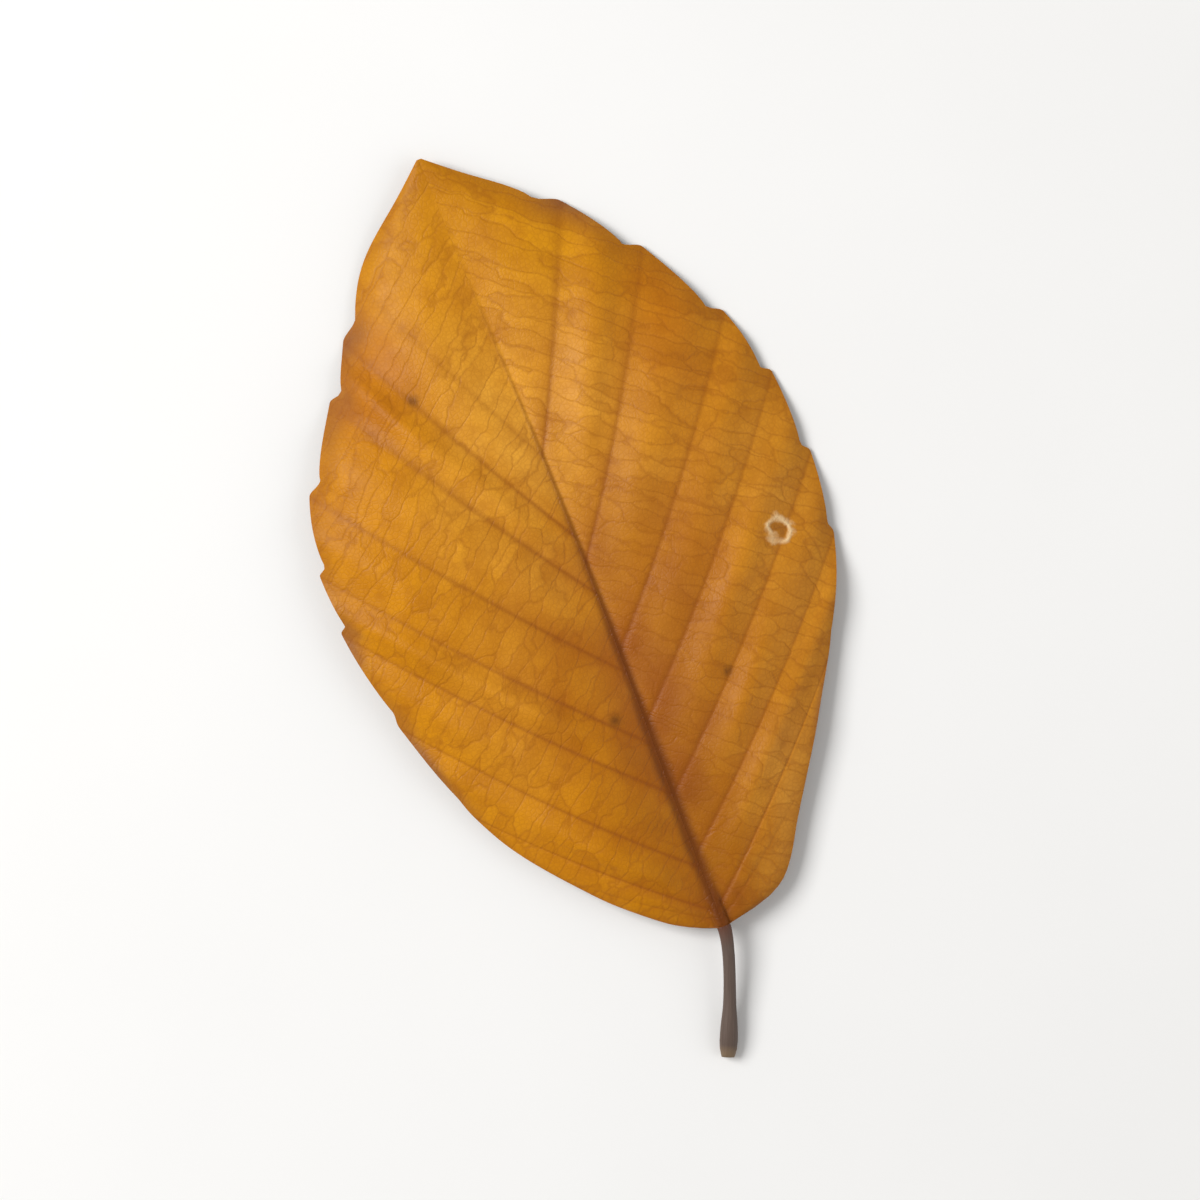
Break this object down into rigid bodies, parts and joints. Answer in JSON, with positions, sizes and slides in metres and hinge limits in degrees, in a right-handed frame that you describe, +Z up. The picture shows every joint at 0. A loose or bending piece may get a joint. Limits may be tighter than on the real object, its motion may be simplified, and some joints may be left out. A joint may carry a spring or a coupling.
{
  "type": "beech leaf",
  "caption": "Autumn beech leaf with its stalk: a thin oval blade with a pointed tip, pleated side veins, low marginal teeth and a keeled midrib, lying upper face up.",
  "frame": {"origin": "under the middle of the leaf's bounding box, on the surface that the leaf lies on", "axes": "+Y along the midrib towards the tip, +X to the right seen from above, +Z up out of the upper face"},
  "size_m": [0.0428, 0.081, 0.005],
  "materials": {
    "leaf": "satin"
  },
  "bodies": {
    "root": {"beech_leaf": "leaf"}
  },
  "joints": []
}
